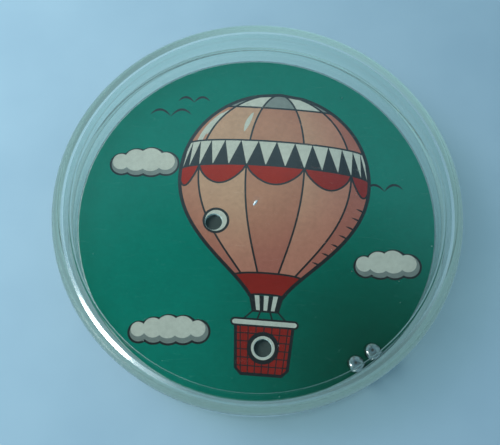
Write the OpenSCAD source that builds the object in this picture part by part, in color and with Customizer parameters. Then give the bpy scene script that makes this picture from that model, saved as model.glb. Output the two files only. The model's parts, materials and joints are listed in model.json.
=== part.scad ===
// Round dexterity puzzle: a clear case shuts loose balls in over a picture card with punched holes.
// The case lies on z = 0 with its axis along Z, and +Y points to the top of the picture.

/* [Case] */
// Outside diameter of the closed case
case_d = 60; // [54:0.5:72]
// Height of the closed case, without the gate pip
case_h = 11; // [10:0.1:14]
// Clear gap between the cover and the base, at the skirt's foot and around the rim
fit_gap = 0.05; // [0.02:0.01:0.1]

/* [Cover] */
// Wall of the cover's skirt
skirt_t = 1.3; // [1:0.05:1.8]
// Thickness of the window
window_t = 1.2; // [0.8:0.05:1.8]
// Outside round between the window and the skirt
shoulder_r = 1.45; // [0.6:0.05:1.8]
// Width of the inside bevel between the window and the skirt
bevel_w = 0.5; // [0.2:0.02:1]
// Height of that bevel
bevel_h = 0.42; // [0.2:0.02:1]
// Diameter of the gate pip where it stands on the window
pip_d = 1.2; // [0.8:0.1:2]
// Diameter of the gate pip at its tip
pip_tip_d = 0.6; // [0.3:0.1:0.7]
// Height of the gate pip
pip_h = 0.25; // [0.1:0.05:0.4]

/* [Base] */
// Thickness of the base's floor
floor_t = 1; // [0.8:0.05:1.5]
// Round of the floor's lower edge
foot_r = 0.15; // [0.1:0.05:0.7]
// Thickness of the upright rim inside the cover's skirt
rim_t = 0.65; // [0.5:0.05:1]
// Round of the rim's two upper edges
rim_edge_r = 0.05; // [0.05:0.05:0.2]
// Clear height between the rim's top and the window
rim_drop = 4.4; // [3.5:0.1:5]

/* [Cards] */
// Thickness of the picture card
card_t = 0.8; // [0.5:0.05:1.2]
// Thickness of the dark card behind it, which closes the holes from below
backing_t = 0.2; // [0.15:0.05:0.4]
// Clear gap between the cards' edges and the rim
card_gap = 0.05; // [0.05:0.05:0.4]
// Clear gap between the cards, and between the cards and the floor
sheet_gap = 0.02; // [0.01:0.01:0.05]

/* [Holes] */
// How much wider a hole is than a ball
hole_clear = 0.2; // [0.1:0.05:0.6]
// Left hole, to the right of the card's middle
left_hole_x = -6.8; // [-10:0.1:-4]
// Left hole, above the card's middle
left_hole_y = -0.7; // [-4:0.1:4]
// Low hole, to the right of the card's middle
low_hole_x = 0.8; // [-4:0.1:4]
// Low hole, above the card's middle
low_hole_y = -20.3; // [-22:0.1:-16]

/* [Balls] */
// Diameter of a ball
ball_d = 2.5; // [2:0.1:3]
// Direction of the first ball from the card's middle, in degrees from +X
ball_bearing = -58; // [-75:1:-40]
// Clear gap between the two balls as they lie at the rim
ball_gap = 0.6; // [0.3:0.05:1.5]
// Clear gap between a ball and the rim
ball_rim_gap = 0.1; // [0.05:0.05:0.3]
// Clear gap between a ball and the card
ball_card_gap = 0.08; // [0.04:0.01:0.2]

/* [Hidden] */
$fn = 96;

// How far a cutter runs past the face that it opens
cut_past = 1;
// How far the gate pip reaches down into the window
pip_root = window_t / 2;
// Height in the floor from which the rim rises
rim_root_z = floor_t / 2;

case_r = case_d / 2;
skirt_in_r = case_r - skirt_t;
rim_out_r = skirt_in_r - fit_gap;
rim_in_r = rim_out_r - rim_t;
card_r = rim_in_r - card_gap;

skirt_z = floor_t + fit_gap;
window_z = case_h - window_t;
rim_top_z = window_z - rim_drop;
backing_z = floor_t + sheet_gap;
card_z = backing_z + backing_t + sheet_gap;
card_top_z = card_z + card_t;

hole_d = ball_d + hole_clear;
holes = [[left_hole_x, left_hole_y], [low_hole_x, low_hole_y]];

ball_z = card_top_z + ball_card_gap + ball_d / 2;
ball_path_r = rim_in_r - ball_rim_gap - ball_d / 2;
ball_step = 2 * asin((ball_d + ball_gap) / (2 * ball_path_r));

// Disc on z = 0 whose upper rim is rounded
module round_top_disc(radius, height, edge_r) {
    rotate_extrude()
        union() {
            square([radius - edge_r, height]);
            square([radius, height - edge_r]);
            translate([radius - edge_r, height - edge_r])
                circle(edge_r);
        }
}

// Disc on z = 0 whose upper rim is bevelled
module bevel_top_disc(radius, height, across, down) {
    rotate_extrude()
        polygon([
            [0, 0],
            [radius, 0],
            [radius, height - down],
            [radius - across, height],
            [0, height]
        ]);
}

// Ring on z = 0 whose two upper edges are rounded
module round_top_ring(inner_r, wall, height, edge_r) {
    rotate_extrude()
        translate([inner_r, 0])
            union() {
                square([wall, height - edge_r]);
                translate([edge_r, 0])
                    square([wall - 2 * edge_r, height]);
                for (edge_x = [edge_r, wall - edge_r])
                    translate([edge_x, height - edge_r])
                        circle(edge_r);
            }
}

// Ball lying on the card, rolled out to the rim in one direction
module ball_at(bearing) {
    translate([ball_path_r * cos(bearing), ball_path_r * sin(bearing), ball_z])
        sphere(d = ball_d);
}

// Floor as wide as the case, with an upright rim that the cover's skirt slides over
module base_tray() {
    color("honeydew", 0.5)
        union() {
            translate([0, 0, floor_t])
                mirror([0, 0, 1])
                    round_top_disc(case_r, floor_t, foot_r);
            translate([0, 0, rim_root_z])
                round_top_ring(rim_in_r, rim_t, rim_top_z - rim_root_z, rim_edge_r);
        }
}

// Dark card on the floor, seen only at the bottom of the holes and from below
module backing_card() {
    color("dimgray")
        translate([0, 0, backing_z])
            cylinder(r = card_r, h = backing_t);
}

// Printed card that the balls roll on, punched with one hole for each ball
module picture_card() {
    color("seagreen")
        difference() {
            translate([0, 0, card_z])
                cylinder(r = card_r, h = card_t);
            for (place = holes)
                translate([place[0], place[1], card_z - cut_past])
                    cylinder(d = hole_d, h = card_t + 2 * cut_past);
        }
}

// Window and skirt in one deep lid, with the stub of its moulding gate in the middle
module cover() {
    color("honeydew", 0.35)
        union() {
            difference() {
                translate([0, 0, skirt_z])
                    round_top_disc(case_r, case_h - skirt_z, shoulder_r);
                translate([0, 0, skirt_z - cut_past])
                    bevel_top_disc(skirt_in_r, window_z - skirt_z + cut_past, bevel_w, bevel_h);
            }
            translate([0, 0, case_h])
                rotate_extrude()
                    polygon([
                        [0, -pip_root],
                        [pip_d / 2, -pip_root],
                        [pip_d / 2, 0],
                        [pip_tip_d / 2, pip_h],
                        [0, pip_h]
                    ]);
        }
}

// Ball at the rim on the lower right, the one that is nearer the low hole
module ball_1() {
    color("silver")
        ball_at(ball_bearing);
}

// Ball beside the first one, further round the rim
module ball_2() {
    color("silver")
        ball_at(ball_bearing + ball_step);
}

base_tray();
backing_card();
picture_card();
cover();
ball_1();
ball_2();
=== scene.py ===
"""Looks of a round dexterity puzzle: a clear case, a printed card, its backing and two steel balls."""

from __future__ import annotations

import json
import logging
import math
from collections.abc import Callable, Sequence
from dataclasses import dataclass
from enum import Enum
from itertools import accumulate, cycle, pairwise

import bmesh
import bpy
from mathutils import Matrix, Vector
from mathutils.geometry import delaunay_2d_cdt


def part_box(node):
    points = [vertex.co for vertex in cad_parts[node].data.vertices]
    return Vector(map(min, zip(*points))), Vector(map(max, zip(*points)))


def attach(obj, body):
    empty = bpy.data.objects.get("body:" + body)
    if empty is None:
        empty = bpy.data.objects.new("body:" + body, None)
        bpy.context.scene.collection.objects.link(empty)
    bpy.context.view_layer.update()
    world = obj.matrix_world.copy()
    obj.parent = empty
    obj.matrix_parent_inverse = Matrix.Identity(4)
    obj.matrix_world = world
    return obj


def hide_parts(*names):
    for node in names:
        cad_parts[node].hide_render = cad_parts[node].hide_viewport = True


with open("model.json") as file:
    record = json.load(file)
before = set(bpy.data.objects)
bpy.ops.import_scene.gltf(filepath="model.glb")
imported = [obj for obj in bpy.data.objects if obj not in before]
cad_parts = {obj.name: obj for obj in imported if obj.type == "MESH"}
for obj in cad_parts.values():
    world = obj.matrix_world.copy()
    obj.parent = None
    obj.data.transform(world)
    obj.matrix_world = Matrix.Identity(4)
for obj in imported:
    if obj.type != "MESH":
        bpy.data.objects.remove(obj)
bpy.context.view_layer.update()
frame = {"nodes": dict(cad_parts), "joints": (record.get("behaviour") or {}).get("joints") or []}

MM = 0.001

Point = tuple[float, float]
Triple = tuple[float, float, float]
Colour = tuple[float, float, float]
Node = bpy.types.Node
Socket = bpy.types.NodeSocket
Source = Socket | float | tuple[float, ...]
Piece = bpy.types.Object

UPWARD: Triple = (0.0, 0.0, 1.0)
GRAIN_SPAN: Point = (0.3, 0.7)
NOISE_MIDDLE = 0.5

log = logging.getLogger("dexterity_puzzle")


def linear(red: int, green: int, blue: int) -> Colour:
    """Turns a screen colour, with channels from 0 to 255, into scene-linear light from 0 to 1."""
    shares = (channel / 255 for channel in (red, green, blue))
    return tuple(s / 12.92 if s <= 0.04045 else ((s + 0.055) / 1.055) ** 2.4 for s in shares)


def spread(start: float, end: float, steps: int) -> list[float]:
    """Evenly spaced values from start to end, both included."""
    return [start + (end - start) * i / steps for i in range(steps + 1)]


def arc(centre: Point, radius: float, start: float, end: float, steps: int) -> list[Point]:
    """Points along a circular arc from a start angle to an end angle, in degrees, both included."""
    angles = [math.radians(angle) for angle in spread(start, end, steps)]
    return [(centre[0] + radius * math.cos(a), centre[1] + radius * math.sin(a)) for a in angles]


def circle(centre: Point, radius: float, steps: int = 72) -> list[Point]:
    """Points round a whole circle, each once."""
    return arc(centre, radius, 0, 360, steps)[:-1]


class Graph:
    """Adds and links the nodes of one node tree."""

    def __init__(self, tree: bpy.types.NodeTree) -> None:
        """Takes over a node tree and leaves what is in it."""
        self.tree = tree

    def find(self, kind: str) -> Node:
        """The first node of a kind that is in the tree."""
        return next(node for node in self.tree.nodes if node.type == kind)

    def feed(self, socket: Socket, source: Source) -> None:
        """Links a source into an input, or sets a plain value there.

        Args:
            socket: The input.
            source: What goes into it; a plain colour becomes an opaque one.
        """
        if isinstance(source, Socket):
            self.tree.links.new(source, socket)
        else:
            socket.default_value = (*source, 1.0) if socket.type == "RGBA" else source

    def add(self, kind: str, *sources: Source, **settings: object) -> Node:
        """Adds one shader node.

        Args:
            kind: The node's type name, without its ShaderNode.
            sources: What goes into its first inputs, in order.
            settings: Properties of the node to set.

        Returns:
            The new node.
        """
        node = self.tree.nodes.new("ShaderNode" + kind)
        for name, value in settings.items():
            setattr(node, name, value)
        for socket, source in zip(node.inputs, sources):
            self.feed(socket, source)
        return node

    def set(self, node: Node, **sources: Source) -> Node:
        """Fills a node's inputs by their names.

        Args:
            node: The node.
            sources: What goes into each input, with _ for a space in its name.

        Returns:
            The same node.
        """
        for name, source in sources.items():
            self.feed(node.inputs[name.replace("_", " ")], source)
        return node

    def math(self, operation: str, *terms: Source) -> Socket:
        """Works out one value from others."""
        return self.add("Math", *terms, operation=operation).outputs[0]

    def remap(self, value: Source, *spans: Source) -> Socket:
        """Maps a range smoothly onto another, or onto 0 to 1; the spans are the ends of each."""
        return self.add("MapRange", value, *spans, interpolation_type="SMOOTHSTEP").outputs[0]

    def vector(self, operation: str, *terms: Source) -> Socket:
        """Works out one vector from others."""
        return self.add("VectorMath", *terms, operation=operation).outputs["Vector"]

    def scaled(self, vector: Source, factor: Source) -> Socket:
        """A vector or a colour times a factor."""
        return self.set(self.add("VectorMath", vector, operation="SCALE"), Scale=factor).outputs["Vector"]

    def along(self, vector: Source, direction: Triple) -> Socket:
        """How far a vector reaches in a direction."""
        return self.add("VectorMath", vector, direction, operation="DOT_PRODUCT").outputs["Value"]

    def from_axis(self, place: Source) -> Socket:
        """Distance of a place from the upright axis."""
        level = self.vector("MULTIPLY", place, (1.0, 1.0, 0.0))
        return self.add("VectorMath", level, operation="LENGTH").outputs["Value"]

    def position(self) -> Socket:
        """The place on the piece, in millimetres."""
        return self.scaled(self.add("TexCoord").outputs["Object"], 1 / MM)

    def noise(self, place: Source, scale: Source, detail: float = 2.0) -> Socket:
        """Soft random values, with so many bumps in a millimetre and so many finer octaves."""
        return self.set(self.add("TexNoise", place), Scale=scale, Detail=detail).outputs[0]

    def mix(self, share: Source, first: Source, second: Source) -> Socket:
        """Mixes two colours.

        Args:
            share: Share of the second colour.
            first: The colour at 0.
            second: The colour at 1.

        Returns:
            The mixed colour.
        """
        node = self.add("Mix", share, data_type="RGBA")
        # The sockets for colours come after those for values and vectors.
        for socket, colour in zip(node.inputs[6:8], (first, second)):
            self.feed(socket, colour)
        return node.outputs[2]

    def mix_shaders(self, share: Source, first: Socket, second: Socket) -> Socket:
        """Mixes two shaders, with a share of the second."""
        return self.add("MixShader", share, first, second).outputs[0]

    def bump(self, height: Source, depth: float, strength: float) -> Socket:
        """Turns a height from 0 to 1 into a normal, for a depth in millimetres."""
        return self.set(self.add("Bump"), Height=height, Distance=depth * MM, Strength=strength).outputs[0]

    def effect(self, effect: Effect, **values: Source) -> bpy.types.NodeOutputs:
        """Places a shared effect, with its inputs by name, and gives its outputs."""
        return self.set(self.add("Group", node_tree=effect.tree), **values).outputs


class Effect:
    """A shader node group with named inputs and outputs that several finishes share."""

    title = "effect"
    inputs: tuple[str, ...] = ()
    outputs: tuple[str, ...] = ("Mask",)

    def __init__(self) -> None:
        """Makes the group's sockets, then its nodes."""
        self.tree = bpy.data.node_groups.new(self.title, "ShaderNodeTree")
        for way, names in (("INPUT", self.inputs), ("OUTPUT", self.outputs)):
            for name in names:
                self.tree.interface.new_socket(name=name, in_out=way, socket_type="NodeSocketFloat")
        self.graph = Graph(self.tree)
        self.given = self.tree.nodes.new("NodeGroupInput").outputs
        self.result = self.tree.nodes.new("NodeGroupOutput")
        self.build()

    def build(self) -> None:
        """Adds the nodes that lead from the given inputs to the result."""
        raise NotImplementedError


class PaperGrain(Effect):
    """Fibres and uneven ink on board; patches and blotches hold their scale, octaves and weight."""

    title = "paper_grain"
    inputs = ("Fibres", "Mottle")
    outputs = ("Tone", "Height")
    fibre_octaves = 4.0
    fibre_weight = 0.5
    patches: Triple = (0.3, 3.0, 0.7)
    blotches: Triple = (1.6, 1.0, 0.8)
    average = 1.0

    def build(self) -> None:
        """Blends fine fibres with wide patches and small blotches."""
        graph = self.graph
        place = graph.position()
        fibres = graph.noise(place, self.given["Fibres"], self.fibre_octaves)
        blend = graph.math("MULTIPLY", fibres, self.fibre_weight)
        for scale, octaves, weight in (self.patches, self.blotches):
            blend = graph.math("MULTIPLY_ADD", graph.noise(place, scale, octaves), weight, blend)
        swing = graph.math("SUBTRACT", blend, self.average)
        tone = graph.math("MULTIPLY_ADD", swing, self.given["Mottle"], 1.0)
        graph.set(self.result, Tone=tone, Height=fibres)


class Airbrush(Effect):
    """A sprayed tone that changes with the distance from its middle."""

    title = "airbrush"
    inputs = ("Middle X", "Middle Y", "Near", "Far")
    drops = 7.0
    scatter = 3.0

    def build(self) -> None:
        """Maps the distance and breaks its edge up with grain."""
        graph = self.graph
        place = graph.position()
        middle = graph.add("CombineXYZ", self.given["Middle X"], self.given["Middle Y"]).outputs[0]
        distance = graph.from_axis(graph.vector("SUBTRACT", place, middle))
        spray = graph.math("SUBTRACT", graph.noise(place, self.drops), NOISE_MIDDLE)
        reach = graph.math("MULTIPLY_ADD", spray, self.scatter, distance)
        graph.set(self.result, Mask=graph.remap(reach, self.given["Near"], self.given["Far"]))


class HairlineScratches(Effect):
    """Fine broken scratches in three directions."""

    title = "hairline_scratches"
    inputs = ("Scale", "Cover")
    directions: Triple = (14.0, 77.0, 131.0)
    shift = Vector((3.7, 1.9, 5.3))
    stretch: Triple = (0.05, 0.55, 0.55)
    line_width = 0.006
    breaks_scale = 2.3
    unbroken = 0.75

    def build(self) -> None:
        """Draws the level lines of stretched noise and breaks them up."""
        graph = self.graph
        place = graph.scaled(graph.position(), self.given["Scale"])
        hidden = graph.math("SUBTRACT", 1.0, self.given["Cover"])
        lines: Source = 0.0
        for index, direction in enumerate(self.directions):
            moved = tuple(self.shift * index)
            turned = (0.0, 0.0, math.radians(direction))
            streaks = graph.add("Mapping", place, moved, turned, self.stretch).outputs[0]
            swing = graph.noise(streaks, scale=1.0, detail=1.0)
            away = graph.math("ABSOLUTE", graph.math("SUBTRACT", swing, NOISE_MIDDLE))
            line = graph.remap(away, 0.0, self.line_width, 1.0, 0.0)
            breaks = graph.noise(streaks, self.breaks_scale, detail=0.0)
            shown = graph.remap(breaks, hidden, self.unbroken)
            lines = graph.math("MAXIMUM", lines, graph.math("MULTIPLY", line, shown))
        graph.set(self.result, Mask=lines)


class DustSpecks(Effect):
    """Small scattered specks of dust."""

    title = "dust_specks"
    inputs = ("Spacing", "Size", "Share")
    smallest = 0.3
    core = 0.5

    def build(self) -> None:
        """Keeps a share of the cells and draws a dot in each."""
        graph = self.graph
        closeness = graph.math("DIVIDE", 1.0, self.given["Spacing"])
        cells = graph.set(graph.add("TexVoronoi", graph.position()), Scale=closeness).outputs
        chance = graph.add("SeparateColor", cells["Color"]).outputs
        kept = graph.math("LESS_THAN", chance[0], self.given["Share"])
        radius = graph.math("MULTIPLY", self.given["Size"], graph.math("ADD", chance[1], self.smallest))
        away = graph.math("MULTIPLY", cells["Distance"], self.given["Spacing"])
        dot = graph.remap(away, graph.math("MULTIPLY", radius, self.core), radius, 1.0, 0.0)
        graph.set(self.result, Mask=graph.math("MULTIPLY", dot, kept))


class Effects:
    """The shared effects, each built once."""

    def __init__(self) -> None:
        """Builds every group."""
        self.grain = PaperGrain()
        self.airbrush = Airbrush()
        self.scratches = HairlineScratches()
        self.dust = DustSpecks()


class Coat(Graph):
    """The nodes of a new material, around its Principled shader."""

    def __init__(self, name: str, effects: Effects) -> None:
        """Makes the material.

        Args:
            name: The material's name.
            effects: The shared effects.
        """
        self.material = bpy.data.materials.new(name)
        self.material.use_nodes = True
        super().__init__(self.material.node_tree)
        self.effects = effects
        self.shader = self.find("BSDF_PRINCIPLED")

    def dress(self, **sources: Source) -> None:
        """Fills inputs of the Principled shader by their names."""
        self.set(self.shader, **sources)

    def lead_out(self, **sources: Source) -> None:
        """Fills inputs of the material's output by their names."""
        self.set(self.find("OUTPUT_MATERIAL"), **sources)


@dataclass(frozen=True)
class Finish:
    """The look of one material."""

    name: str

    def material(self, effects: Effects) -> bpy.types.Material:
        """Builds the material.

        Args:
            effects: The shared effects.

        Returns:
            The material.
        """
        coat = Coat(self.name, effects)
        self.paint(coat)
        return coat.material

    def paint(self, coat: Coat) -> None:
        """Adds the finish's own nodes to a new material."""
        raise NotImplementedError


@dataclass(frozen=True)
class ClearPlastic(Finish):
    """Polished clear polystyrene, a little yellowed, with the marks of use on its level faces.

    Skirt and rim are pressed together beside the joint's radius and below its height, and light passes
    there as through one piece.
    """

    polished_within: float
    joint: Point
    joint_half: float
    tint: Colour = linear(250, 253, 250)
    gloss: float = 0.015
    scuffed: float = 0.14
    worn: float = 0.22
    dusty: float = 0.6
    index: float = 1.58
    level_span: Point = (0.97, 1.0)
    flow_scale: float = 0.09
    flow_depth: float = 0.05
    thick_tint: Colour = (0.72, 0.92, 0.20)
    thick_density: float = 16.0
    shadow_tint: Colour = (0.91, 0.915, 0.90)

    def paint(self, coat: Coat) -> None:
        """Marks the level faces and lets light from the lamps straight through.

        Args:
            coat: The new material.
        """
        place = coat.position()
        radius = coat.from_axis(place)
        normal = coat.add("TexCoord").outputs["Normal"]
        flatness = coat.remap(coat.math("ABSOLUTE", coat.along(normal, UPWARD)), *self.level_span)
        inside = coat.math("LESS_THAN", radius, self.polished_within)
        level = coat.math("MULTIPLY", flatness, inside)
        scratches = coat.effect(coat.effects.scratches, Scale=1.0, Cover=0.46)["Mask"]
        dust = coat.effect(coat.effects.dust, Spacing=1.3, Size=0.11, Share=0.07)["Mask"]
        rough = coat.remap(level, 0.0, 1.0, self.scuffed, self.gloss)
        for marks, change in ((scratches, self.worn), (dust, self.dusty)):
            rough = coat.math("MULTIPLY_ADD", coat.math("MULTIPLY", marks, level), change, rough)
        beside = coat.math("COMPARE", radius, self.joint[0], self.joint_half)
        below = coat.math("LESS_THAN", coat.along(place, UPWARD), self.joint[1])
        flow = coat.noise(place, self.flow_scale, detail=1.0)
        coat.dress(
            Base_Color=self.tint,
            Roughness=rough,
            Normal=coat.bump(flow, self.flow_depth, strength=0.35),
            Alpha=coat.math("SUBTRACT", 1.0, coat.math("MULTIPLY", beside, below)),
            Transmission_Weight=1.0,
            IOR=self.index,
        )
        surface = coat.shader.outputs[0]
        straight = coat.add("BsdfTransparent", self.shadow_tint).outputs[0]
        path = coat.add("LightPath").outputs
        for ray in ("Is Diffuse Ray", "Is Shadow Ray"):
            surface = coat.mix_shaders(path[ray], surface, straight)
        absorbed = coat.add("VolumeAbsorption", self.thick_tint, self.thick_density).outputs[0]
        coat.lead_out(Surface=surface, Volume=absorbed)


@dataclass(frozen=True)
class TornPlasticGlint(Finish):
    """Plastic that turned white where it was bent and torn; its pale blue-white is also a painted glint on
    the gate pip.
    """

    name: str = "torn_plastic_glint"
    # Pale blue-white: whitened plastic, and a painted glint on the gate pip.
    colour: Colour = linear(232, 243, 248)
    cracked: Colour = linear(176, 196, 204)
    crack_scale: float = 7.0
    crack_span: Point = (0.45, 0.65)
    crack_depth: float = 0.02
    gloss: float = 0.35
    dulled: float = 0.3

    def paint(self, coat: Coat) -> None:
        """Breaks the white up with fine cracks.

        Args:
            coat: The new material.
        """
        cracks = coat.remap(coat.noise(coat.position(), self.crack_scale, detail=3.0), *self.crack_span)
        coat.dress(
            Base_Color=coat.mix(cracks, self.colour, self.cracked),
            Roughness=coat.math("MULTIPLY_ADD", cracks, self.dulled, self.gloss),
            Normal=coat.bump(cracks, self.crack_depth, strength=0.5),
        )


@dataclass(frozen=True)
class PolishedSteel(Finish):
    """Bearing steel with hairlines and a thin film of grease."""

    name: str = "polished_steel"
    colour: Colour = (0.60, 0.61, 0.61)
    film: Colour = (0.36, 0.37, 0.36)
    film_scale: float = 2.0
    film_span: Point = (0.45, 0.65)
    film_dulls: float = 0.08
    gloss: float = 0.06
    worn: float = 0.3

    def paint(self, coat: Coat) -> None:
        """Smears the film over the metal and scratches it.

        Args:
            coat: The new material.
        """
        scratches = coat.effect(coat.effects.scratches, Scale=6.0, Cover=0.6)["Mask"]
        smear = coat.remap(coat.noise(coat.position(), self.film_scale, detail=3.0), *self.film_span)
        smeared = coat.math("MULTIPLY_ADD", smear, self.film_dulls, self.gloss)
        coat.dress(
            Metallic=1.0,
            Base_Color=coat.mix(smear, self.colour, self.film),
            Roughness=coat.math("MULTIPLY_ADD", scratches, self.worn, smeared),
        )


@dataclass(frozen=True)
class Board(Finish):
    """Bare or dyed fibre board."""

    colour: Colour
    fleck: Colour
    mottle: float = 0.35
    matt: Point = (0.72, 0.9)
    grain_depth: float = 0.03

    def paint(self, coat: Coat) -> None:
        """Tones the board by its grain and adds flecks.

        Args:
            coat: The new material.
        """
        grain = coat.effect(coat.effects.grain, Fibres=6.0, Mottle=self.mottle)
        flecks = coat.effect(coat.effects.dust, Spacing=0.7, Size=0.1, Share=0.3)["Mask"]
        coat.dress(
            Base_Color=coat.mix(flecks, coat.scaled(self.colour, grain["Tone"]), self.fleck),
            Roughness=coat.remap(grain["Height"], *GRAIN_SPAN, *self.matt),
            Normal=coat.bump(grain["Height"], self.grain_depth, strength=0.4),
        )


@dataclass(frozen=True)
class PrintedInk(Finish):
    """One ink of an offset print on coated board, sprayed from one tone to another."""

    inner: Colour
    outer: Colour
    middle: Point = (-3.0, 11.0)
    near: float = 6.0
    far: float = 21.0
    mottle: float = 0.3
    satin: Point = (0.42, 0.56)
    shine: float = 0.2
    grain_depth: float = 0.012

    def paint(self, coat: Coat) -> None:
        """Sprays the tones and mottles them by the board's grain.

        Args:
            coat: The new material.
        """
        grain = coat.effect(coat.effects.grain, Fibres=9.0, Mottle=self.mottle)
        middle = dict(zip(("Middle X", "Middle Y"), self.middle))
        sprayed = coat.effect(coat.effects.airbrush, Near=self.near, Far=self.far, **middle)["Mask"]
        coat.dress(
            Base_Color=coat.scaled(coat.mix(sprayed, self.inner, self.outer), grain["Tone"]),
            Roughness=coat.remap(grain["Height"], *GRAIN_SPAN, *self.satin),
            Specular_IOR_Level=self.shine,
            Normal=coat.bump(grain["Height"], self.grain_depth, strength=0.3),
        )


class Ink(Enum):
    """What covers a part of the card, in the order of the card's material slots."""

    GROUND = "ground_green"
    SALMON = "panel_salmon"
    PEACH = "panel_peach"
    RED = "trim_red"
    WHITE = "paper_white"
    GREY = "cloud_grey"
    BLACK = "line_black"
    BARE = "bare_board"
    HOLE = "punched_hole"


CARD_FINISHES: tuple[Finish, ...] = (
    # The ground green is darker towards the lower right, round (17, -23), and lighter further out.
    PrintedInk(
        Ink.GROUND.value, linear(3, 76, 62), linear(4, 124, 110), middle=(17.0, -23.0), near=1.0, far=33.0
    ),
    PrintedInk(Ink.SALMON.value, linear(190, 139, 117), linear(168, 103, 92)),
    PrintedInk(Ink.PEACH.value, linear(203, 163, 138), linear(184, 124, 108)),
    PrintedInk(Ink.RED.value, linear(168, 52, 40), linear(139, 38, 33)),
    PrintedInk(Ink.WHITE.value, linear(205, 208, 199), linear(192, 198, 192)),
    PrintedInk(Ink.GREY.value, linear(142, 152, 150), linear(120, 132, 132)),
    PrintedInk(Ink.BLACK.value, linear(62, 68, 72), linear(38, 42, 46)),
    # Bare board at the card's edges and round its holes: pale like board, and lighter and bluer still as
    # painted light on the edge that lies in shade in the narrow gap at the rim.
    Board(Ink.BARE.value, linear(214, 236, 240), linear(190, 206, 206)),
)


@dataclass(frozen=True)
class PaleFloor(Finish):
    """The plain floor, with its tone where it is seen in metal or through clear plastic.

    Seen so, the floor's tone is painted light and shade: it dims away from the lamps, with a painted shadow
    under the case, apart from painted light that the case gathers on its far side and at its foot. Lengths
    are in millimetres.
    """

    name: str = "pale_floor"
    colour: Colour = linear(158, 190, 207)
    fleck: Colour = linear(152, 184, 202)
    fleck_scale: float = 0.05
    near_lamps: Colour = linear(165, 209, 231)
    far_side: Colour = linear(131, 171, 191)
    dims_along: Triple = (0.92, -0.38, 0.0)
    dims_over: Point = (-40.0, 40.0)
    under_near_lamps: Colour = (0.60, 0.59, 0.57)
    under_far_side: Colour = (0.68, 0.69, 0.67)
    under_lit: Colour = (1.0, 1.0, 0.97)
    lit_along: Triple = (0.50, 0.87, 0.0)
    lit_over: Point = (12.0, 29.0)
    foot_glow: Colour = (1.5, 1.52, 1.50)
    glow_along: Triple = (0.62, 0.79, 0.0)
    glow_over: Point = (20.0, 29.5)
    glow_from: Point = (28.9, 29.4)
    case_edge: Point = (28.6, 30.6)
    unshaded: Colour = (1.0, 1.0, 1.0)

    def paint(self, coat: Coat) -> None:
        """Flecks the floor softly, and swaps in its painted light and shade for glossy and bent rays.

        Args:
            coat: The new material.
        """
        soft = coat.remap(coat.noise(coat.position(), self.fleck_scale, detail=3.0), *GRAIN_SPAN)
        flecked = coat.mix(soft, self.colour, self.fleck)
        coat.dress(Base_Color=flecked, Roughness=0.9, Specular_IOR_Level=0.1)
        # Painted light and shade: the floor glows with it in place of its lit colour, for glossy and bent
        # rays.
        glow = coat.add("Emission", self.painted_light_and_shade(coat)).outputs[0]
        path = coat.add("LightPath").outputs
        swapped = coat.math("MAXIMUM", path["Is Transmission Ray"], path["Is Glossy Ray"])
        coat.lead_out(Surface=coat.mix_shaders(swapped, coat.shader.outputs[0], glow))

    def painted_light_and_shade(self, coat: Coat) -> Socket:
        """Works out the floor's painted light and shade, as seen in metal and through plastic.

        Args:
            coat: The new material.

        Returns:
            The painted light and shade.
        """
        place = coat.position()
        radius = coat.from_axis(place)
        dimmed = coat.remap(coat.along(place, self.dims_along), *self.dims_over)
        lit = coat.remap(coat.along(place, self.lit_along), *self.lit_over)
        gathered = coat.remap(coat.along(place, self.glow_along), *self.glow_over)
        at_foot = coat.math("MULTIPLY", coat.remap(radius, *self.glow_from), gathered)
        # Painted shadow under the case, lifted by painted light on its far side and at its foot.
        under = coat.mix(dimmed, self.under_near_lamps, self.under_far_side)
        for share, colour in ((lit, self.under_lit), (at_foot, self.foot_glow)):
            under = coat.mix(share, under, colour)
        shade = coat.mix(coat.remap(radius, *self.case_edge), under, self.unshaded)
        return coat.vector("MULTIPLY", coat.mix(dimmed, self.near_lamps, self.far_side), shade)


def mesh_piece(name: str, mesh_data: bmesh.types.BMesh, smooth_below: float = 0.0) -> Piece:
    """Turns a bmesh into an object with smooth curves and sharp corners.

    Args:
        name: The piece's name.
        mesh_data: The mesh, which is freed.
        smooth_below: Faces that meet at less than this angle, in degrees, shade as one.

    Returns:
        The object, in the scene.
    """
    bmesh.ops.recalc_face_normals(mesh_data, faces=mesh_data.faces)
    mesh = bpy.data.meshes.new(name)
    mesh_data.to_mesh(mesh)
    mesh_data.free()
    if smooth_below:
        mesh.shade_smooth()
        mesh.set_sharp_from_angle(angle=math.radians(smooth_below))
    piece = bpy.data.objects.new(name, mesh)
    bpy.context.scene.collection.objects.link(piece)
    return piece


def round_piece(name: str, divisions: int, place: Matrix) -> Piece:
    """Makes a fine ball.

    Args:
        name: The piece's name.
        divisions: How often its faces are divided.
        place: Where a ball of radius 1 goes, with its size.

    Returns:
        The object, in the scene.
    """
    mesh_data = bmesh.new()
    bmesh.ops.create_icosphere(mesh_data, subdivisions=divisions, radius=1.0, matrix=place)
    return mesh_piece(name, mesh_data, smooth_below=180.0)


def place_piece(piece: Piece, body: str, node: str | None = None) -> Piece:
    """Puts a piece on a body, in the place of a solid if it has one.

    Args:
        piece: The piece.
        body: The body that it moves with.
        node: The solid that it stands for.

    Returns:
        The same piece.
    """
    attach(piece, body)
    if node is not None:
        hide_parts(node)
    return piece


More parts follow.
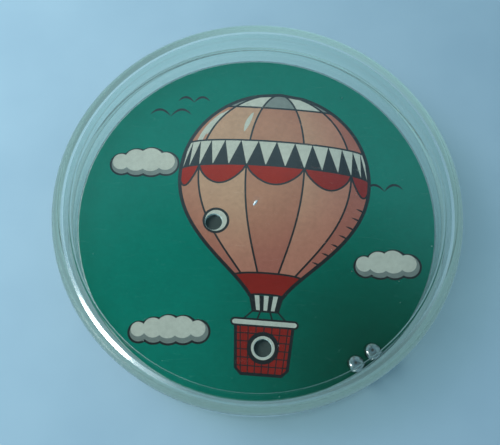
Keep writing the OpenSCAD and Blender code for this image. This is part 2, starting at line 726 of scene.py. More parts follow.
@dataclass
class ClearCase:
    """The two clear mouldings, turned from their sections; sizes in millimetres.

    The gate pip flares through places given as a radius and a height over the window. Each of its wobbles
    holds a swing, a number of waves round the pip and a start in radians.
    """

    effects: Effects
    segments: int = 576
    arc_steps: int = 16
    edge_round: float = 0.05
    edge_steps: int = 4
    smooth_below: float = 40.0
    skirt_wall: float = 1.3
    window: float = 1.2
    shoulder: float = 1.45
    bevel_across: float = 0.5
    bevel_down: float = 0.42
    bevel_round: float = 0.05
    bevel_steps: int = 6
    insert_line: float = 27.26
    insert_bead: float = 0.36
    insert_sunk: float = 0.325
    pip_least: float = 0.1
    pip_crown: float = 0.204
    pip_tip: float = 0.34
    pip_edge: float = 0.06
    pip_foot: float = 0.6
    pip_flare: tuple[Point, ...] = ((0.48, 0.08), (0.6, 0.02), (0.72, 0.0))
    pip_wobbles: tuple[Triple, ...] = ((0.16, 2.0, 0.6), (0.09, 5.0, 0.0))
    pip_slant: float = 0.11
    pip_slants_to: float = 35.0
    torn_at: Point = (-0.39, -0.60)
    torn_half: Triple = (0.50, 0.19, 0.16)
    torn_turn: float = 55.0
    torn_divisions: int = 3
    foot_round: float = 0.15
    floor: float = 1.0
    rim_wall: float = 0.65
    rim_inside: float = 28.0
    rim_top: float = 5.4
    rim_round: float = 0.05
    guard: float = 0.04
    fit_gap: float = 0.05

    def __post_init__(self) -> None:
        """Reads the pip's tip and the height of the window's upper face from the solid cover."""
        heights = sorted({round(v.co.z / MM, 3) for v in frame["nodes"]["cover"].data.vertices})
        self.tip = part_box("cover")[1].z / MM
        self.top = max(z for z in heights if z <= heights[-1] - self.pip_least)

    def build(self) -> list[Piece]:
        """Makes both mouldings.

        Returns:
            The cover, the base and the torn edge of the gate with its painted glint, dressed and in place.
        """
        cover = self.turn("clear_cover", self.cover_section(), self.snapped_gate)
        base = self.turn("clear_base", self.base_section(), self.as_turned)
        joint = (self.rim_inside + self.rim_wall + self.fit_gap / 2, self.rim_top - self.rim_round)
        for moulding, node in ((cover, "cover"), (base, "base_tray")):
            plastic = ClearPlastic(moulding.name + "_plastic", self.rim_inside, joint, self.fit_gap)
            moulding.data.materials.append(plastic.material(self.effects))
            place_piece(moulding, "case", node)
        return [cover, base, self.torn_edge_and_glint()]

    def torn_edge_and_glint(self) -> Piece:
        """Makes the whitened ridge where the gate was torn off the cover, whose pale colour is also a
        painted glint.

        Returns:
            The ridge, dressed and in place.
        """
        place = Matrix.Translation(Vector((*self.torn_at, self.top)) * MM)
        turned = Matrix.Rotation(math.radians(self.torn_turn), 4, "Z")
        size = Matrix.Diagonal((*(Vector(self.torn_half) * MM), 1.0))
        ridge = round_piece("torn_gate_edge_glint", self.torn_divisions, place @ turned @ size)
        ridge.data.materials.append(TornPlasticGlint().material(self.effects))
        return place_piece(ridge, "case")

    def cover_section(self) -> list[Point]:
        """Half of the cover's section, from the top of the axis round to its underside.

        Returns:
            Points as radius and height.
        """
        low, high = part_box("cover")
        outside, foot = high.x / MM, low.z / MM
        inside = outside - self.skirt_wall
        under = self.top - self.window
        lip = self.edge_round
        section = [(0.0, self.tip), (self.pip_crown, self.tip), (self.pip_tip, self.tip - self.pip_edge)]
        section += [(radius, self.top + rise) for radius, rise in self.pip_flare]
        shoulder_at = (outside - self.shoulder, self.top - self.shoulder)
        section += arc(shoulder_at, self.shoulder, 90, 0, self.arc_steps)
        section += arc((outside - lip, foot + lip), lip, 0, -90, self.edge_steps)
        section += arc((inside + lip, foot + lip), lip, -90, -180, self.edge_steps)
        section += [(inside, self.rim_top - self.rim_round)]
        section += self.bevelled_corner(inside, under)
        half = math.degrees(math.acos(self.insert_sunk / self.insert_bead))
        bead_at = (self.insert_line, under + self.insert_sunk)
        section += arc(bead_at, self.insert_bead, half - 90, -half - 90, 2 * self.edge_steps)
        return self.guarded([*section, (0.0, under)])

    def bevelled_corner(self, inside: float, under: float) -> list[Point]:
        """The bevel between the skirt and the window, with both of its edges rounded.

        Args:
            inside: Radius of the skirt's inside.
            under: Height of the window's underside.

        Returns:
            Points as radius and height, from the skirt to the window.
        """
        bend = self.bevel_round
        slope = math.degrees(math.atan2(self.bevel_down, self.bevel_across))
        lower = bend * math.tan(math.radians(90 - slope) / 2)
        upper = bend * math.tan(math.radians(slope) / 2)
        low_centre = (inside - bend, under - self.bevel_down - lower)
        high_centre = (inside - self.bevel_across - upper, under - bend)
        points = arc(low_centre, bend, 0, 90 - slope, self.bevel_steps)
        return points + arc(high_centre, bend, 90 - slope, 90, self.bevel_steps)

    def base_section(self) -> list[Point]:
        """Half of the base's section, from the underside's middle round to its floor.

        Returns:
            Points as radius and height.
        """
        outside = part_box("base_tray")[1].x / MM
        lip, bend = self.edge_round, self.rim_round
        rim_outside = self.rim_inside + self.rim_wall
        steps = 2 * self.edge_steps
        section = [(0.0, 0.0)]
        section += arc((outside - self.foot_round, self.foot_round), self.foot_round, -90, 0, steps)
        section += arc((outside - lip, self.floor - lip), lip, 0, 90, self.edge_steps)
        section += [(rim_outside, self.floor)]
        section += arc((rim_outside - bend, self.rim_top - bend), bend, 0, 90, steps)
        section += arc((self.rim_inside + bend, self.rim_top - bend), bend, 90, 180, steps)
        return self.guarded([*section, (self.rim_inside, self.floor), (0.0, self.floor)])

    def guarded(self, section: Sequence[Point]) -> list[Point]:
        """Adds a point close to both ends of each straight run, so that flat walls shade as flat.

        Args:
            section: The section's points.

        Returns:
            The same section with the added points.
        """
        points = [section[0]]
        for first, second in pairwise(section):
            run = math.dist(first, second)
            if run > 4 * self.guard:
                for share in (self.guard / run, 1 - self.guard / run):
                    points.append(tuple(a + (b - a) * share for a, b in zip(first, second)))
            points.append(second)
        return points

    @staticmethod
    def as_turned(radius: float, angle: float, height: float) -> Vector:
        """The point at a radius, an angle in radians and a height."""
        return Vector((radius * math.cos(angle), radius * math.sin(angle), height))

    def snapped_gate(self, radius: float, angle: float, height: float) -> Vector:
        """Breaks the turned pip up, as a gate that was snapped off by hand.

        Args:
            radius: Distance from the axis.
            angle: Direction from the axis, in radians.
            height: Height on the cover.

        Returns:
            The point.
        """
        if height > self.top + self.guard / 4 and radius <= self.pip_foot:
            share = (height - self.top) / (self.tip - self.top)
            wobbles = ((swing, waves * angle + start) for swing, waves, start in self.pip_wobbles)
            radius *= 1 + sum(swing * math.sin(turn) for swing, turn in wobbles)
            drop = self.pip_slant * share * (1 + math.cos(angle - math.radians(self.pip_slants_to))) / 2
            height -= drop * min(1.0, radius / self.pip_crown)
        return self.as_turned(radius, angle, height)

    def turn(
        self, name: str, section: Sequence[Point], shape: Callable[[float, float, float], Vector]
    ) -> Piece:
        """Turns a section about the axis into a closed shell.

        Args:
            name: The piece's name.
            section: The section, which starts and ends on the axis.
            shape: Gives a point for its radius, angle and height.

        Returns:
            The piece.
        """
        mesh_data = bmesh.new()
        angles = spread(0.0, 2 * math.pi, self.segments)[:-1]
        rings: list[list[bmesh.types.BMVert]] = []
        for radius, height in section:
            ends = angles if radius > 0 else angles[:1]
            rings.append([mesh_data.verts.new(shape(radius, angle, height) * MM) for angle in ends])
        for first, second in pairwise(rings):
            for index in range(self.segments):
                after = (index + 1) % self.segments
                corners = [first[index % len(first)], second[index % len(second)]]
                corners += [second[after % len(second)], first[after % len(first)]]
                mesh_data.faces.new(list(dict.fromkeys(corners)))
        return mesh_piece(name, mesh_data, self.smooth_below)


class Brush(Enum):
    """How the width of a drawn line runs."""

    EVEN = "even"
    SWELL = "swell"


@dataclass(frozen=True)
class Triangle:
    """A flat triangle, by the numbers of its corners and of the outlines that it lies in."""

    corners: list[int]
    outlines: list[int]


def triangulate(outlines: Sequence[Sequence[Point]]) -> tuple[list[Vector], list[list[int]], list[Triangle]]:
    """Cuts outlines that may overlap into triangles that lie side by side.

    Args:
        outlines: The corners of each outline, anticlockwise and in millimetres.

    Returns:
        The points, for each of them the numbers of the given corners there, and the triangles.
    """
    corners = [Vector(corner) for outline in outlines for corner in outline]
    ends = accumulate((len(outline) for outline in outlines), initial=0)
    loops = [list(range(*pair)) for pair in pairwise(ends)]
    inside_only, tolerance = 1, 1e-5
    made = delaunay_2d_cdt(corners, [], loops, inside_only, tolerance, True)
    points, _, faces, origins, _, sources = made
    return points, origins, [Triangle(*pair) for pair in zip(faces, sources)]


class Drawing:
    """Flat artwork as outlines in painter's order, in millimetres from the card's middle."""

    shortest = 1e-3
    thin_end = 0.12
    swell_power = 0.8
    cap_steps = 6

    def __init__(self) -> None:
        """Starts with no layers."""
        self.layers: list[tuple[Ink, list[Point]]] = []

    def fill(self, ink: Ink, outline: Sequence[Point]) -> None:
        """Adds a filled outline over what is there, without repeated points and turned anticlockwise.

        Args:
            ink: Its ink.
            outline: Its corners in order.
        """
        steps = zip(outline, [outline[-1], *outline])
        kept = [point for point, before in steps if math.dist(point, before) > self.shortest]
        area = sum(a[0] * b[1] - b[0] * a[1] for a, b in pairwise([*kept, kept[0]]))
        self.layers.append((ink, kept if area > 0 else kept[::-1]))

    def line(
        self, path: Sequence[Point], width: float, ink: Ink = Ink.BLACK, brush: Brush = Brush.EVEN
    ) -> None:
        """Adds a brush line.

        Args:
            path: The points that the line follows.
            width: Its greatest width.
            ink: Its ink.
            brush: Whether its width is even, with round ends, or swells from thin ends.
        """
        last = len(path) - 1
        left: list[Point] = []
        right: list[Point] = []
        for index, (x, y) in enumerate(path):
            ahead, behind = path[min(index + 1, last)], path[max(index - 1, 0)]
            run = math.dist(ahead, behind)
            across = (-(ahead[1] - behind[1]) / run, (ahead[0] - behind[0]) / run)
            half = width / 2
            if brush is Brush.SWELL:
                swell = math.sin(math.pi * index / last) ** self.swell_power
                half *= self.thin_end + (1 - self.thin_end) * swell
            left.append((x + across[0] * half, y + across[1] * half))
            right.append((x - across[0] * half, y - across[1] * half))
        outline = left + right[::-1]
        if brush is Brush.EVEN:
            outline = left + self.cap(path[-1], left[-1]) + right[::-1] + self.cap(path[0], right[0])
        self.fill(ink, outline)

    def cap(self, end: Point, start: Point) -> list[Point]:
        """Half a circle clockwise round the end of a line from one corner, without its two corners."""
        first = math.degrees(math.atan2(start[1] - end[1], start[0] - end[0]))
        return arc(end, math.dist(start, end), first, first - 180, self.cap_steps)[1:-1]


@dataclass(frozen=True)
class Cloud:
    """A drawn cloud: humps along a flat foot, with an outline and a shaded underside."""

    middle: Point
    width: float
    humps: int
    tallest: float
    outline: float = 0.32
    lift: float = 0.45
    lit_inset: float = 0.3
    sunk: float = 0.55
    least: float = 0.5
    end_share: float = 0.08
    lean: float = 1.2
    steps: int = 40

    def draw(self, drawing: Drawing) -> None:
        """Paints the outline, then the shade, then the lit top.

        Args:
            drawing: The artwork that it is a part of.
        """
        edge = self.outline / 2
        lit = (Ink.WHITE, edge + self.lit_inset, self.lit_inset / 2, self.lift)
        for ink, inset, aside, rise in ((Ink.BLACK, -edge, 0.0, 0.0), (Ink.GREY, edge, 0.0, 0.0), lit):
            for index in range(self.humps):
                (x, y), radius = self.hump((index + 0.5) / self.humps)
                drawing.fill(ink, circle((x - aside, y + rise), radius - inset, self.steps))

    def hump(self, share: float) -> tuple[Point, float]:
        """One hump as a disc.

        Args:
            share: Its place along the cloud, from 0 to 1.

        Returns:
            The disc's middle and radius.
        """
        swell = math.sin(math.pi * (self.end_share + (1 - 2 * self.end_share) * share ** self.lean))
        radius = self.tallest * (self.least + (1 - self.least) * swell)
        x = self.middle[0] + (share - 0.5) * self.width
        return (x, self.middle[1] + self.sunk * (radius - self.tallest)), radius


@dataclass(frozen=True)
class Bird:
    """A distant bird of two brush lines, with the length of a wing."""

    middle: Point
    wing: float
    arch: float = 1.3
    rise: float = 0.1
    width: float = 0.42
    steps: int = 10

    def draw(self, drawing: Drawing) -> None:
        """Paints both wings from the body outwards.

        Args:
            drawing: The artwork that it is a part of.
        """
        x, y = self.middle
        for side in (-self.wing, self.wing):
            shares = spread(0.0, 1.0, self.steps)
            bends = [self.wing * (self.arch * t * (1 - t) + self.rise * t) for t in shares]
            path = [(x + side * t, y + bend) for t, bend in zip(shares, bends)]
            drawing.line(path, self.width, brush=Brush.SWELL)


@dataclass
class BalloonPrint(Drawing):
    """The card's picture, a striped balloon among clouds, in millimetres from the card's middle.

    Heights on the balloon are measured up its axis from the mouth, and angles round it in degrees from the
    front. The lights hold an angle and two heights each, the ropes their distances from the axis at both
    ends, and the rings the radii of their black and their white. The cone below the belly is a curve with
    its handles at shares of the belly's height and of the girth.
    """

    edge: float
    left_hole: Point
    low_hole: Point
    hole: float
    edge_steps: int = 192
    clouds: tuple[Cloud, ...] = (
        Cloud((-18.2, 9.4), width=9.5, humps=4, tallest=2.5),
        Cloud((20.0, -7.6), width=9.0, humps=4, tallest=2.3),
        Cloud((-13.2, -17.6), width=11.0, humps=5, tallest=2.2),
    )
    birds: tuple[Bird, ...] = (
        Bird((-14.2, 17.6), wing=3.4),
        Bird((-10.4, 20.2), wing=2.6),
        Bird((20.4, 4.4), wing=3.0),
    )
    mouth: Point = (1.38, -12.6)
    crown: Point = (4.0, 21.6)
    girth: float = 15.2
    mouth_half: float = 2.5
    cone_heights: Point = (0.24, 0.5)
    cone_widths: Point = (0.36, 1.0)
    halvings: int = 40
    seen_from_below: float = 7.0
    panels: int = 5
    outline: float = 0.55
    seam: float = 0.3
    seam_short: float = 0.2
    lights: tuple[Triple, ...] = ((-62.0, 20.5, 30.0), (-57.0, 25.4, 30.6), (-24.0, 26.0, 30.2))
    light_width: float = 0.75
    hatches: int = 7
    hatch_low: float = 5.4
    hatch_step: float = 1.5
    hatch_from: float = 60.0
    hatch_lean: float = 1.2
    hatch_to: float = 87.0
    band_low: float = 19.6
    band_high: float = 24.2
    teeth: int = 15
    swag: float = 3.2
    swag_steps: int = 16
    swag_power: float = 0.7
    cap_from: float = 31.4
    collar: float = 3.0
    scoop_top: float = 0.1
    scoop_low: float = -2.3
    scoop_half: float = 1.9
    stripes: int = 7
    ropes: tuple[Point, ...] = ((1.9, 4.1), (0.7, 1.5))
    rope_width: float = 0.24
    basket_rise: float = 3.2
    basket_drop: float = 3.9
    basket_halves: Triple = (4.3, 3.8, 3.0)
    basket_corner: float = 0.8
    basket_line: float = 0.4675
    weave_rows: int = 6
    weave_half: float = 3.9
    weave_width: float = 0.16
    stakes_aside: int = 3
    stake_steps: Point = (1.2, 1.0)
    lip_rise: float = 0.45
    lip_half: float = 4.5
    lip_widths: Point = (1.3, 0.7)
    left_ring_aside: Point = (0.36, 0.23)
    left_ring: Point = (2.12, 1.72)
    low_ring: Point = (2.38, 1.75)

    def __post_init__(self) -> None:
        """Starts the artwork, and works out the balloon's axis and the angles of its seams."""
        super().__init__()
        self.length = math.dist(self.crown, self.mouth)
        self.along = tuple((end - start) / self.length for start, end in zip(self.mouth, self.crown))
        self.belly = self.length - self.girth
        self.seams = spread(-90.0, 90.0, self.panels)

    def at(self, up: float, aside: float) -> Point:
        """The point that lies so far up the axis from the mouth, and so far to its right."""
        x = self.mouth[0] + self.along[0] * up + self.along[1] * aside
        return (x, self.mouth[1] + self.along[1] * up - self.along[0] * aside)

    def across(self, up: float, half: float) -> list[Point]:
        """The two ends of a straight line square to the axis."""
        return [self.at(up, -half), self.at(up, half)]

    def half_width(self, up: float) -> float:
        """Half the balloon's width.

        Args:
            up: Distance up the axis from the mouth.

        Returns:
            Half the width there: a circle above the belly, and a curved cone below it.
        """
        if up >= self.belly:
            return math.sqrt(max(0.0, self.girth ** 2 - (up - self.belly) ** 2))
        heights = (0.0, *(share * self.belly for share in self.cone_heights), self.belly)
        widths = (self.mouth_half, *(share * self.girth for share in self.cone_widths), self.girth)
        low, high = 0.0, 1.0
        for _ in range(self.halvings):
            middle = (low + high) / 2
            low, high = (middle, high) if self.bezier(heights, middle) < up else (low, middle)
        return self.bezier(widths, low)

    @staticmethod
    def bezier(values: Sequence[float], share: float) -> float:
        """A cubic curve from the first value to the last, at a share of its run."""
        weights = (math.comb(3, i) * (1 - share) ** (3 - i) * share ** i for i in range(4))
        return sum(weight * value for weight, value in zip(weights, values))

    def on_skin(self, up: float, turn: float) -> Point:
        """A point on the balloon's skin, seen from a little below.

        Args:
            up: Distance up the axis from the mouth.
            turn: Angle round the axis from the front.

        Returns:
            The point in the picture.
        """
        half = self.half_width(up)
        fade = (half / self.girth) ** 2 if up > self.belly else 1.0
        rise = fade * half * math.cos(math.radians(turn)) * math.tan(math.radians(self.seen_from_below))
        return self.at(up + rise, half * math.sin(math.radians(turn)))

    def meridian(self, turn: float, low: float, high: float, steps: int = 48) -> list[Point]:
        """A line up the skin at one angle."""
        return [self.on_skin(up, turn) for up in spread(low, high, steps)]

    def parallel(self, up: float, first: float = -90.0, last: float = 90.0, steps: int = 40) -> list[Point]:
        """A line round the skin at one height."""
        return [self.on_skin(up, turn) for turn in spread(first, last, steps)]

    def patch(self, low: float, high: float, first: float = -90.0, last: float = 90.0) -> list[Point]:
        """Outline of the skin between two heights and two angles."""
        foot, head = self.parallel(low, first, last, steps=8), self.parallel(high, last, first, steps=8)
        return foot + self.meridian(last, low, high)[1:] + head[1:] + self.meridian(first, high, low)[1:-1]

    def draw(self) -> None:
        """Draws the whole card, with the punched holes on top."""
        self.fill(Ink.GROUND, circle((0.0, 0.0), self.edge, self.edge_steps))
        for motif in (*self.clouds, *self.birds):
            motif.draw(self)
        self.draw_skin()
        self.draw_trim()
        self.draw_basket()
        self.draw_rings()

    def draw_skin(self) -> None:
        """Draws the panels, the lights, the hatching and the seams."""
        for ink, (first, last) in zip(cycle((Ink.SALMON, Ink.PEACH)), pairwise(self.seams)):
            self.fill(ink, self.patch(0.0, self.length, first, last))
        for turn, low, high in self.lights:
            self.line(self.meridian(turn, low, high, steps=16), self.light_width, Ink.WHITE, Brush.SWELL)
        for index in range(self.hatches):
            up = self.hatch_low + self.hatch_step * index
            start = self.hatch_from + self.hatch_lean * index
            self.line(self.parallel(up, start, self.hatch_to, steps=10), self.seam, brush=Brush.SWELL)
        for turn in self.seams[1:-1]:
            self.line(self.meridian(turn, 0.0, self.length - self.seam_short), self.seam)

    def draw_trim(self) -> None:
        """Draws the swags, the toothed band, the crown, the collar and the outline."""
        steps = self.swag_steps
        for first, last in pairwise(self.seams):
            sag = [self.swag * math.sin(math.pi * i / steps) ** self.swag_power for i in range(steps + 1)]
            hem = [self.on_skin(self.band_low - s, t) for s, t in zip(sag, spread(first, last, steps))]
            self.fill(Ink.RED, self.parallel(self.band_low, last, first, steps) + hem[1:-1])
            self.line(hem, self.seam)
        self.fill(Ink.WHITE, self.patch(self.band_low, self.band_high))
        for start, end in pairwise(spread(-90.0, 90.0, self.teeth)):
            foot = self.parallel(self.band_low, start, end, steps=4)
            self.fill(Ink.BLACK, [*foot, self.on_skin(self.band_high, (start + end) / 2)])
        self.fill(Ink.WHITE, self.patch(self.cap_from, self.length))
        for first, last in zip(self.seams[::2], self.seams[1::2]):
            self.fill(Ink.GREY, self.patch(self.cap_from, self.length, first, last))
        for turn in self.seams[1:-1]:
            seam = self.meridian(turn, self.cap_from, self.length - self.seam_short, steps=12)
            self.line(seam, self.seam)
        self.fill(Ink.RED, self.patch(0.0, self.collar))
        for up in (self.band_low, self.band_high, self.cap_from, self.collar, 0.0):
            self.line(self.parallel(up), self.seam)
        for turn in (-90.0, 90.0):
            self.line(self.meridian(turn, 0.0, self.length, steps=72), self.outline)

    def draw_basket(self) -> None:
        """Draws the striped scoop, the ropes and the wicker basket round the low hole."""
        middle = self.low_hole[1] - self.mouth[1]
        rim, foot = middle + self.basket_rise, middle - self.basket_drop
        shares = spread(-1.0, 1.0, self.stripes)
        for ink, ends in zip(cycle((Ink.BLACK, Ink.WHITE)), pairwise(shares)):
            stripe = [self.at(self.scoop_top, self.mouth_half * share) for share in ends]
            stripe += [self.at(self.scoop_low, self.scoop_half * share) for share in reversed(ends)]
            self.fill(ink, stripe)
        self.line(self.across(self.scoop_low, self.scoop_half), self.seam)
        for side in (-1, 1):
            top = self.at(self.scoop_top, side * self.mouth_half)
            self.line([top, self.at(self.scoop_low, side * self.scoop_half)], self.seam)
            for start, end in self.ropes:
                self.line([self.at(self.scoop_low, side * start), self.at(rim, side * end)], self.rope_width)
        heights = (rim, foot + self.basket_corner, foot)
        sides = [self.across(up, half) for up, half in zip(heights, self.basket_halves)]
        wall = [left for left, _ in sides] + [right for _, right in reversed(sides)]
        self.fill(Ink.RED, wall)
        for up in spread(rim, foot, self.weave_rows)[1:-1]:
            self.line(self.across(up, self.weave_half), self.weave_width)
        wide, narrow = self.stake_steps
        for stake in range(-self.stakes_aside, self.stakes_aside + 1):
            self.line([self.at(rim, wide * stake), self.at(foot, narrow * stake)], self.weave_width)
        self.line(wall, self.basket_line)
        for width, ink in zip(self.lip_widths, (Ink.BLACK, Ink.WHITE)):
            self.line(self.across(rim + self.lip_rise, self.lip_half), width, ink)

    def draw_rings(self) -> None:
        """Draws the white rings round the holes, then the holes."""
        aside = tuple(place + shift for place, shift in zip(self.left_hole, self.left_ring_aside))
        for middle, radii in ((aside, self.left_ring), (self.low_hole, self.low_ring)):
            for ink, radius in zip((Ink.BLACK, Ink.WHITE), radii):
                self.fill(ink, circle(middle, radius))
        for hole in (self.left_hole, self.low_hole):
            self.fill(Ink.HOLE, circle(hole, self.hole))


@dataclass
class Cards:
    """The printed card and the dark card behind it; sizes in millimetres."""

    effects: Effects
    hole_radius: float = 1.35
    lip: float = 0.03
    backing: Board = Board("dark_backing_board", linear(66, 76, 76), linear(88, 94, 92))

    def build(self) -> list[Piece]:
        """Makes the printed card and dresses the dark one.

        Returns:
            Both cards.
        """
        card = self.printed_card()
        for finish in CARD_FINISHES:
            card.data.materials.append(finish.material(self.effects))
        place_piece(card, "case", "picture_card")
        backing = frame["nodes"]["backing_card"]
        dark = self.backing.material(self.effects)
        for slot in backing.material_slots:
            slot.material = dark
        return [card, backing]

    def hole_places(self) -> list[Point]:
        """Where each ball comes to rest over its hole, from the joints' travel.

        Returns:
            The holes' middles in the order of the joints.
        """
        places = []
        for joint in frame["joints"]:
            low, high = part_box(joint["child"])
            end = (low + high) / 2 + Vector(joint["axis"]) * joint["range_m"][1]
            places.append((end.x / MM, end.y / MM))
        return places

    def printed_card(self) -> Piece:
        """Builds the card as one solid whose face is cut along the artwork.

        Returns:
            The card.
        """
        low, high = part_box("picture_card")
        radius = high.x / MM
        low_hole, left_hole = self.hole_places()
        picture = BalloonPrint(radius - self.lip, left_hole, low_hole, self.hole_radius + self.lip)
        picture.draw()
        points, _, triangles = triangulate([outline for _, outline in picture.layers])
        slots = list(Ink)
        mesh_data = bmesh.new()
        top = [mesh_data.verts.new((x * MM, y * MM, high.z)) for x, y in points]
        for triangle in triangles:
            ink = picture.layers[max(triangle.outlines)][0] if triangle.outlines else Ink.HOLE
            if ink is not Ink.HOLE:
                face = mesh_data.faces.new([top[i] for i in triangle.corners])
                face.material_index = slots.index(ink)
        rims = [((0.0, 0.0), radius, -self.lip)]
        rims += [(hole, self.hole_radius, self.lip) for hole in (left_hole, low_hole)]
        for face in self.close_edges(mesh_data, rims, low.z, high.z):
            face.material_index = slots.index(Ink.BARE)
        for vert in [v for v in mesh_data.verts if not v.link_faces]:
            mesh_data.verts.remove(vert)
        open_edges = sum(1 for edge in mesh_data.edges if len(edge.link_faces) != 2)
        log.info("printed card: %d faces, %d open edges", len(mesh_data.faces), open_edges)
        return mesh_piece("printed_card", mesh_data)

    def close_edges(
        self, mesh_data: bmesh.types.BMesh, rims: list[tuple[Point, float, float]], low: float, high: float
    ) -> list[bmesh.types.BMFace]:
        """Adds the rounded lips, the walls and the underside.

        Args:
            mesh_data: The mesh, which holds the printed face.
            rims: Middle, radius and change of radius at the face of each round edge.
            low: Height of the underside, in metres.
            high: Height of the printed face, in metres.

        Returns:
            The new faces.
        """
        border = {v for edge in mesh_data.edges if edge.is_boundary for v in edge.verts}
        faces = []
        feet: list[list[bmesh.types.BMVert]] = []
        for middle, radius, change in rims:
            axis = Vector(middle) * MM
            reach = (radius + change) * MM
            face_ring = [v for v in border if abs((v.co.xy - axis).length - reach) < self.lip * MM / 2]
            face_ring.sort(key=lambda v: math.atan2(v.co.y - axis.y, v.co.x - axis.x))
            outline = [axis + (v.co.xy - axis) * (radius * MM / reach) for v in face_ring]
            wall = [mesh_data.verts.new((*place, high - self.lip * MM)) for place in outline]
            feet.append([mesh_data.verts.new((*place, low)) for place in outline])
            for upper, lower in pairwise((face_ring, wall, feet[-1])):
                for i, j in pairwise((*range(len(outline)), 0)):
                    faces.append(mesh_data.faces.new([upper[i], lower[i], lower[j], upper[j]]))
        under = [v for foot in feet for v in foot]
        _, origins, triangles = triangulate([[v.co.xy / MM for v in foot] for foot in feet])
        for triangle in triangles:
            if triangle.outlines == [0]:
                faces.append(mesh_data.faces.new([under[origins[i][0]] for i in triangle.corners]))
        return faces


@dataclass
class SteelBalls:
    """The loose balls."""

    effects: Effects
    divisions: int = 5

    def build(self) -> list[Piece]:
        """Makes a fine ball in the place of each solid one.

        Returns:
            The balls.
        """
        steel = PolishedSteel().material(self.effects)
        balls = []
        for node in ("ball_1", "ball_2"):
            low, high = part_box(node)
            size = Matrix.Scale((high.x - low.x) / 2, 4)
            ball = round_piece("steel_" + node, self.divisions, Matrix.Translation((low + high) / 2) @ size)
            ball.data.materials.append(steel)
            balls.append(place_piece(ball, node, node))
        return balls


@dataclass(frozen=True)
class Lamp:
    """A rectangular soft lamp that faces the object; lengths in metres."""

    name: str
    direction: Triple
    distance: float
    size: Point
    power: float
    colour: Colour
    seen_in_plastic: bool
    aim: Triple = (0.0, 0.0, 5.0 * MM)

    def place(self) -> None:
        """Puts the lamp into the scene."""
        data = bpy.data.lights.new(self.name, "AREA")
        data.shape = "RECTANGLE"
        data.size, data.size_y = self.size
        data.energy = self.power
        data.color = self.colour
        lamp = bpy.data.objects.new(self.name, data)
        towards = Vector(self.direction).normalized()
        lamp.location = Vector(self.aim) + towards * self.distance
        lamp.rotation_euler = (-towards).to_track_quat("-Z", "Y").to_euler()
        lamp.visible_glossy = False
        lamp.visible_transmission = self.seen_in_plastic
        bpy.context.scene.collection.objects.link(lamp)


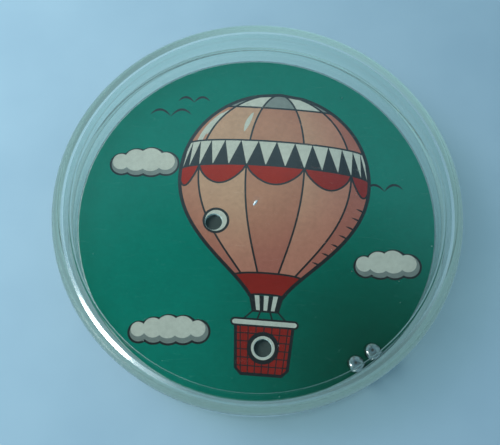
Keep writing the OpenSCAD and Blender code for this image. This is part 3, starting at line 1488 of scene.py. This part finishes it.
@dataclass
class Studio:
    """Floor, lamps, room and camera; lengths in metres, angles in degrees."""

    effects: Effects
    floor_gap: float = 0.05 * MM
    floor_reach: float = 3.0
    bright_wall: Colour = (0.27, 0.47, 0.57)
    dim_wall: Colour = (0.11, 0.20, 0.22)
    bright_side: Triple = (-0.34, 0.94, 0.0)
    bright_over: Point = (-0.9, -0.1)
    window_glow: Colour = (0.45, 0.65, 0.75)
    window_side: Triple = (-0.84, -0.50, 0.21)
    window_over: Point = (0.82, 0.98)
    slope_light: Colour = (0.16, 0.29, 0.38)
    slope_over: Point = (0.40, 0.80)
    ceiling_light: Colour = (0.012, 0.018, 0.022)
    ceiling_through_plastic: Colour = (0.06, 0.075, 0.08)
    ceiling_over: Point = (0.895, 0.965)
    image_width: int = 500
    focal_pixels: float = 633.9
    sensor_mm: float = 36.0
    view_tilt: float = 17.84
    view_turn: float = 1.49
    view_target: Triple = (-1.15 * MM, -3.27 * MM, 10.1 * MM)
    view_distance: float = 91.56 * MM
    nearest_seen: float = 1.0 * MM
    lamps: tuple[Lamp, ...] = (
        Lamp(
            "window_lamp",
            direction=(-0.86, -0.47, 0.21),
            distance=0.30,
            size=(0.11, 0.09),
            power=0.26,
            colour=(0.90, 0.98, 1.0),
            seen_in_plastic=True,
        ),
        Lamp(
            "soft_lamp",
            direction=(-0.65, 0.26, 0.70),
            distance=0.25,
            size=(0.13, 0.11),
            power=0.565,
            colour=(1.0, 0.99, 0.97),
            seen_in_plastic=False,
        ),
    )

    def build(self) -> list[Piece]:
        """Sets the whole studio up.

        Returns:
            The floor.
        """
        floor = self.lay_floor()
        self.light_room()
        for lamp in self.lamps:
            lamp.place()
        self.place_camera()
        bpy.context.scene.view_settings.view_transform = "Standard"
        return [floor]

    def lay_floor(self) -> Piece:
        """Lays a plain pale floor just under the case.

        Returns:
            The floor.
        """
        mesh_data = bmesh.new()
        bmesh.ops.create_grid(mesh_data, x_segments=1, y_segments=1, size=self.floor_reach)
        bmesh.ops.translate(mesh_data, verts=mesh_data.verts, vec=(0.0, 0.0, -self.floor_gap))
        floor = mesh_piece("floor", mesh_data)
        floor.data.materials.append(PaleFloor().material(self.effects))
        return floor

    def light_room(self) -> None:
        """Makes the room: walls that are brighter on one side, under a dark ceiling."""
        world = bpy.data.worlds.new("room")
        world.use_nodes = True
        bpy.context.scene.world = world
        graph = Graph(world.node_tree)
        outward = graph.add("TexCoord").outputs["Generated"]
        through = graph.add("LightPath").outputs["Is Transmission Ray"]
        ceiling = graph.mix(through, self.ceiling_light, self.ceiling_through_plastic)
        light: Source = self.dim_wall
        for colour, side, over in (
            (self.bright_wall, self.bright_side, self.bright_over),
            (self.window_glow, self.window_side, self.window_over),
            (self.slope_light, UPWARD, self.slope_over),
            (ceiling, UPWARD, self.ceiling_over),
        ):
            light = graph.mix(graph.remap(graph.along(outward, side), *over), light, colour)
        graph.set(graph.find("BACKGROUND"), Color=light)

    def place_camera(self) -> None:
        """Puts the camera where the object is looked at from."""
        tilt, turn = math.radians(self.view_tilt), math.radians(self.view_turn)
        back = Vector((-math.sin(tilt) * math.sin(turn), -math.sin(tilt) * math.cos(turn), math.cos(tilt)))
        right = Vector((0.0, 1.0, 0.0)).cross(back).normalized()
        data = bpy.data.cameras.new("camera")
        data.sensor_width = self.sensor_mm
        data.lens = self.focal_pixels / self.image_width * self.sensor_mm
        data.clip_start = self.nearest_seen
        camera = bpy.data.objects.new("camera", data)
        turned = Matrix((right, back.cross(right), back)).transposed().to_4x4()
        eye = Vector(self.view_target) + back * self.view_distance
        camera.matrix_world = Matrix.Translation(eye) @ turned
        bpy.context.scene.collection.objects.link(camera)
        bpy.context.scene.camera = camera


def main() -> None:
    """Builds the studio, then the case, the cards and the balls."""
    logging.basicConfig(level=logging.INFO, format="%(message)s")
    effects = Effects()
    for part in (Studio(effects), ClearCase(effects), Cards(effects), SteelBalls(effects)):
        for piece in part.build():
            log.info("built %s", piece.name)


if __name__ == "__main__":
    main()
